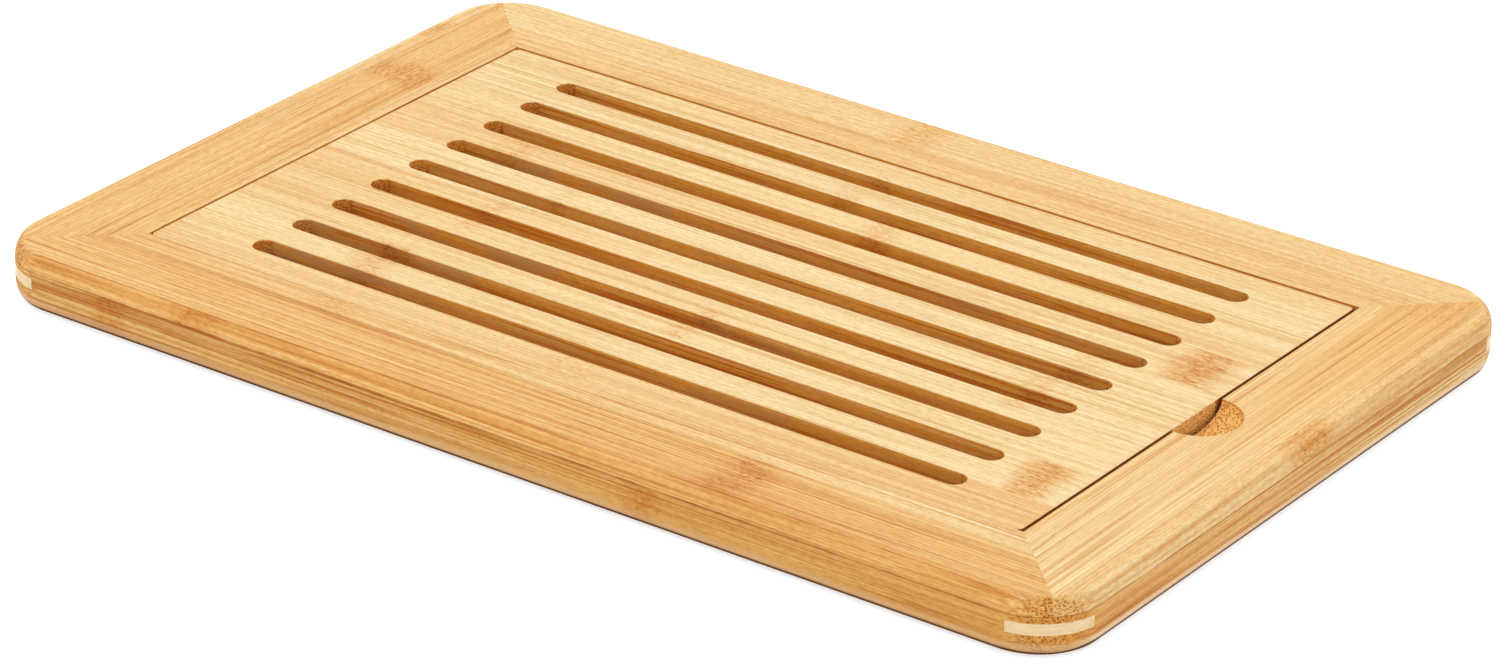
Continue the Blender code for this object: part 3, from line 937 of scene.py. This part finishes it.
def makeFrame():
    blank = boardBlank()
    up = Vector((0, 0, 1))
    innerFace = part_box("right_rail_upper_strip_3")[0].x
    dip = (sides["right"]["outward"], innerFace)
    bowl = bambooMaterial("scoopBamboo", finishes["scoopBowl"], sides["front"]["outward"], ledge=dip)
    for side, values in sides.items():
        outward = values["outward"]
        along = Vector((abs(outward.y), abs(outward.x), 0))
        count = values["strips"]
        names = [f"{side}_rail_upper_strip_{number}" for number in range(1, count + 1)]
        reach = railReach(outward)[0]
        ply = (up, plyLine, marks["plyGlue"], values["plyWidth"])
        near = 0
        for number, node in enumerate(names, start=1):
            far = distanceIn(outward, node, True)
            if number < count:
                far = between(far, distanceIn(outward, names[number], False))
            bm = railPiece(blank, outward, near, far, True, number == count)
            name = f"{side}RailStrip{number}"
            piece = newObject(name, bm)
            scooped = []
            if side == "right" and number > 1:
                scoopOut(piece, innerFace)
                scooped = [bowl]
            seams = [ply]
            if number > 1:
                seams.append((outward, reach - near, values["glue"][number - 2], marks["glueWidth"]))
            if number < count:
                seams.append((outward, reach - far, values["glue"][number - 1], marks["glueWidth"]))
            if number == 1 and "band" in values:
                placeShare, strength, widthShare = values["band"]
                seams.append((outward, reach - far * placeShare, strength, far * widthShare))
            walls = board["innerWallsBrownAndShade"] if number == count else 0
            material = bambooMaterial(name, finishes[name], along, seams, walls=walls)
            seat(piece, node, "frame", "frame_bamboo", material, *scooped)
            near = far
        node = side + "_rail_lower"
        name = side + "RailLower"
        bm = railPiece(blank, outward, 0, distanceIn(outward, node, True), False, True)
        piece = newObject(name, bm)
        cutAway(piece, floorGroove())
        scooped = []
        if side == "right":
            scoopOut(piece, innerFace)
            scooped = [bowl]
        for corner in corners:
            if side in corner.split("_"):
                cutAway(piece, kerf(corner))
        ledge = (outward, reach - near)
        strips = (reach - near, near / 2)
        material = bambooMaterial(name, finishes[name], along, [ply], strips=strips, ledge=ledge)
        seat(piece, node, "frame", "lower_bamboo", material, *scooped)
    for corner, outward in corners.items():
        edgeName, endName = corner.split("_")
        name = edgeName + endName.capitalize() + "Spline"
        along = Vector((-outward.y, outward.x, 0))
        material = bambooMaterial(name, finishes["cornerSplines"], along)
        piece = newObject(name, splinePiece(blank, corner))
        seat(piece, corner + "_corner_spline", "frame", "spline_bamboo", material)
    blank.free()
    low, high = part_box("crumb_floor")
    width = (high.y - low.y) / round((high.y - low.y) / crumbFloor["stripWidth"])
    material = bambooMaterial("crumbFloor", finishes["crumbFloor"], Vector((1, 0, 0)), strips=(low.y, width))
    piece = newObject("crumbFloor", crumbFloorPiece())
    seat(piece, "crumb_floor", "frame", "floor_bamboo", material)
    print("frame made")


# Grille

def outline(bm, length, width, radius, steps):
    made = bmesh.ops.create_grid(bm, x_segments=1, y_segments=1, size=0.5)
    verts = made["verts"]
    bmesh.ops.scale(bm, vec=(length, width, 1), verts=verts)
    rounded = bmesh.ops.bevel(
        bm, geom=verts, offset=radius, segments=steps, profile=0.5, affect="VERTICES", material=-1
    )
    return rounded["verts"]


def grillePlate(low, high):
    halfHeight = (high.z - low.z) / 2
    bm = bmesh.new()
    outline(bm, high.x - low.x, high.y - low.y, grille["cornerRadius"], grille["cornerSteps"])
    endRadius = grille["slotWidth"] / 2 - closeBy
    for number in range(grille["slots"]):
        place = (number - (grille["slots"] - 1) / 2) * grille["slotPitch"]
        verts = outline(bm, grille["slotLength"], grille["slotWidth"], endRadius, grille["slotSteps"])
        bmesh.ops.translate(bm, vec=(0, place, 0), verts=verts)
    bmesh.ops.remove_doubles(bm, verts=bm.verts, dist=grille["mergeDistance"])
    bmesh.ops.delete(bm, geom=bm.faces[:], context="FACES_ONLY")
    bmesh.ops.triangle_fill(bm, use_beauty=True, edges=bm.edges[:], normal=(0, 0, 1))
    bmesh.ops.translate(bm, vec=(0, 0, halfHeight - grille["easedEdge"]), verts=bm.verts)
    for face in bm.faces:
        if face.normal.z < 0:
            face.normal_flip()

    # Rings of faces that ease every edge, then walls down to the middle, and the lower half as the upper one
    flat = bm.faces[:]
    angles = [math.pi / 2 * step / grille["easedSteps"] for step in range(grille["easedSteps"] + 1)]
    for before, after in zip(angles, angles[1:]):
        thickness = grille["easedEdge"] * (math.cos(before) - math.cos(after))
        depth = grille["easedEdge"] * (math.sin(after) - math.sin(before))
        bmesh.ops.inset_region(
            bm, faces=flat, thickness=thickness, depth=depth, use_boundary=True, use_even_offset=True
        )
    walls = [e for e in bm.edges if e.is_boundary]
    extruded = bmesh.ops.extrude_edge_only(bm, edges=walls)
    for part in extruded["geom"]:
        if isinstance(part, bmesh.types.BMVert):
            part.co.z = 0
    bmesh.ops.mirror(bm, geom=allParts(bm), matrix=Matrix(), merge_dist=closeBy, axis="Z")
    bmesh.ops.remove_doubles(bm, verts=bm.verts, dist=weldDistance)
    bmesh.ops.recalc_face_normals(bm, faces=bm.faces)
    bmesh.ops.translate(bm, vec=[between(*ends) for ends in zip(low, high)], verts=bm.verts)
    return bm


def stavePiece(plate, back, front):
    bm = plate.copy()
    if back is not None:
        saw(bm, Vector((0, back, 0)), Vector((0, 1, 0)))
    if front is not None:
        saw(bm, Vector((0, front, 0)), Vector((0, -1, 0)))
    return bm


def makeGrille():
    boxes = [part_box(f"grille_stave_{number:02d}") for number in range(1, grille["staves"] + 1)]
    low = Vector(map(min, *(box[0] for box in boxes)))
    high = Vector(map(max, *(box[1] for box in boxes)))
    plate = grillePlate(low, high)
    along = Vector((1, 0, 0))
    across = Vector((0, 1, 0))
    back = None
    for number in range(1, grille["staves"] + 1):
        node = f"grille_stave_{number:02d}"
        name = f"grilleStave{number:02d}"
        front = None
        if number < grille["staves"]:
            front = between(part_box(node)[0].y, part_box(f"grille_stave_{number + 1:02d}")[1].y)
        borders = [border for border in (back, front) if border is not None]
        seams = [(across, border, grille["glue"], marks["glueWidth"]) for border in borders]
        material = bambooMaterial(name, finishes[name], along, seams, walls=grille["walls"])
        seat(newObject(name, stavePiece(plate, back, front)), node, "grille", "grille_bamboo", material)
        back = front
    plate.free()
    print("grille made")


makeFrame()
makeGrille()


# Rays in which the sky and the floor are seen, not only felt as light
def seenPlainly(tree):
    path = tree.nodes.new("ShaderNodeLightPath").outputs
    return largest(tree, path["Is Camera Ray"], path["Is Glossy Ray"], path["Is Transmission Ray"])


def makeStudio():
    world = bpy.data.worlds.new("softSky")
    bpy.context.scene.world = world
    world.use_nodes = True
    tree = world.node_tree
    sky = tree.nodes["Background"]
    sky.inputs["Color"].default_value = (1, 1, 1, 1)
    light = studio["skyStrength"]
    plug(tree, sky.inputs["Strength"], maths(tree, "MULTIPLY_ADD", seenPlainly(tree), 1 - light, light))

    box = bpy.data.lights.new("softbox", "AREA")
    box.shape = "SQUARE"
    box.size = studio["softboxSize"]
    box.energy = studio["softboxPower"]
    lamp = bpy.data.objects.new("softbox", box)
    lamp.location = studio["softboxPlace"]
    lamp.rotation_euler = Vector(studio["softboxPlace"]).to_track_quat("Z", "Y").to_euler()
    bpy.context.scene.collection.objects.link(lamp)

    bm = bmesh.new()
    bmesh.ops.create_circle(bm, cap_ends=True, segments=studio["floorSegments"], radius=studio["floorRadius"])
    bmesh.ops.translate(bm, vec=(0, 0, -studio["floorDrop"]), verts=bm.verts)
    ground = newObject("studioFloor", bm)
    if ground.data.polygons[0].normal.z < 0:
        ground.data.flip_normals()
    material = bpy.data.materials.new("studioFloor")
    material.use_nodes = True
    tree = material.node_tree
    shader = tree.nodes["Principled BSDF"]
    grey = studio["floorGrey"]
    shader.inputs["Base Color"].default_value = (grey, grey, grey, 1)
    shader.inputs["Roughness"].default_value = 1
    shader.inputs["Specular IOR Level"].default_value = 0
    lift = tree.nodes.new("ShaderNodeEmission")
    plug(tree, lift.inputs["Strength"], times(tree, seenPlainly(tree), studio["floorLift"]))
    lit = tree.nodes.new("ShaderNodeAddShader")
    clear = tree.nodes.new("ShaderNodeBsdfTransparent")
    twoSided = tree.nodes.new("ShaderNodeMixShader")
    tree.links.new(shader.outputs["BSDF"], lit.inputs[0])
    tree.links.new(lift.outputs["Emission"], lit.inputs[1])
    tree.links.new(tree.nodes.new("ShaderNodeNewGeometry").outputs["Backfacing"], twoSided.inputs["Fac"])
    tree.links.new(lit.outputs["Shader"], twoSided.inputs[1])
    tree.links.new(clear.outputs["BSDF"], twoSided.inputs[2])
    tree.links.new(twoSided.outputs["Shader"], tree.nodes["Material Output"].inputs["Surface"])
    ground.data.materials.append(material)


def makeCamera():
    azimuth = math.radians(camera["azimuth"])
    elevation = math.radians(camera["elevation"])
    roll = math.radians(camera["roll"])
    back = Vector((
        math.sin(azimuth) * math.cos(elevation),
        -math.cos(azimuth) * math.cos(elevation),
        math.sin(elevation),
    ))
    level = Vector((0, 0, 1)).cross(back).normalized()
    upright = back.cross(level)
    right = level * math.cos(roll) + upright * math.sin(roll)
    up = upright * math.cos(roll) - level * math.sin(roll)
    lens = bpy.data.cameras.new("camera")
    lens.sensor_fit = "HORIZONTAL"
    lens.sensor_width = camera["sensorWidth"]
    lens.lens = camera["focalPixels"] / camera["pictureWidth"] * camera["sensorWidth"]
    lens.clip_end = camera["farEnd"]
    view = bpy.data.objects.new("camera", lens)
    turn = Matrix((right, up, back)).transposed().to_4x4()
    view.matrix_world = Matrix.Translation(Vector(camera["target"]) + back * camera["distance"]) @ turn
    bpy.context.scene.collection.objects.link(view)
    bpy.context.scene.camera = view
    bpy.context.scene.view_settings.view_transform = "Standard"


makeStudio()
makeCamera()
print("studio and camera made")
